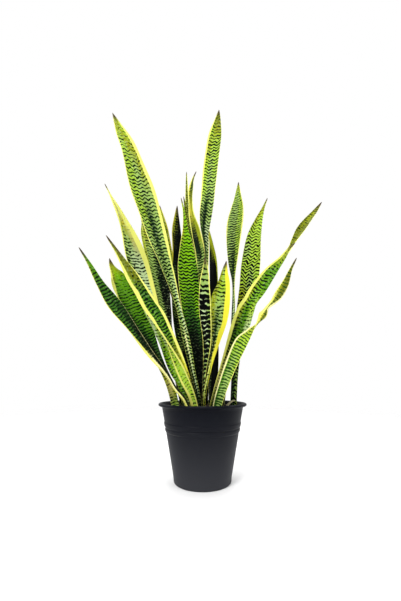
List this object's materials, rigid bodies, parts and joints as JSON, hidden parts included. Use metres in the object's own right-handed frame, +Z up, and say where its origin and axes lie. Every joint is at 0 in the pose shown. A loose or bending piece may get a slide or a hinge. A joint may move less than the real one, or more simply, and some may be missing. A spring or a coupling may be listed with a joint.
{
  "type": "potted snake plant",
  "caption": "Tall variegated snake plant: upright, twisting sword-shaped leaves with pale margins standing in soil in a round, tapered metal pot with a rolled rim.",
  "frame": {"origin": "centre of the pot's flat underside", "axes": "+Z up along the pot's axis; -Y towards the picture's viewer; +X to that viewer's right"},
  "size_m": [0.6933, 0.3966, 1.1602],
  "materials": {
    "pot_metal": "matt charcoal black coat, a little worn and lighter along the rim",
    "soil": "loose dark potting mix",
    "leaf_green": "waxy leaf, cross-banded green with yellow margins",
    "leaf_dark": "waxy leaf, very dark green cross bands with yellow margins",
    "leaf_pale": "waxy leaf, silver-green bands with wide yellow margins",
    "dry_sheath": "dry papery leaf sheath"
  },
  "bodies": {
    "root": {"pot": "pot_metal", "soil": "soil", "leaf_tall_left": "leaf_green", "leaf_tall_middle": "leaf_green", "leaf_right_centre": "leaf_green", "leaf_right_banded": "leaf_dark", "leaf_right_leaning": "leaf_green", "leaf_far_right": "leaf_green", "leaf_right_twisted": "leaf_green", "leaf_front_wide_margin": "leaf_pale", "leaf_front_small": "leaf_pale", "leaf_centre_front": "leaf_green", "leaf_centre_behind": "leaf_dark", "leaf_back_slender": "leaf_green", "leaf_middle_twisted": "leaf_dark", "leaf_centre_dark": "leaf_dark", "leaf_middle_short": "leaf_dark", "leaf_left_pale": "leaf_pale", "leaf_left_hidden": "leaf_dark", "leaf_left_mottled": "leaf_pale", "leaf_left_arching": "leaf_green", "leaf_left_broad": "leaf_dark", "leaf_lowest_left": "leaf_green", "leaf_back_left": "leaf_dark", "dry_sheath": "dry_sheath"}
  },
  "joints": []
}
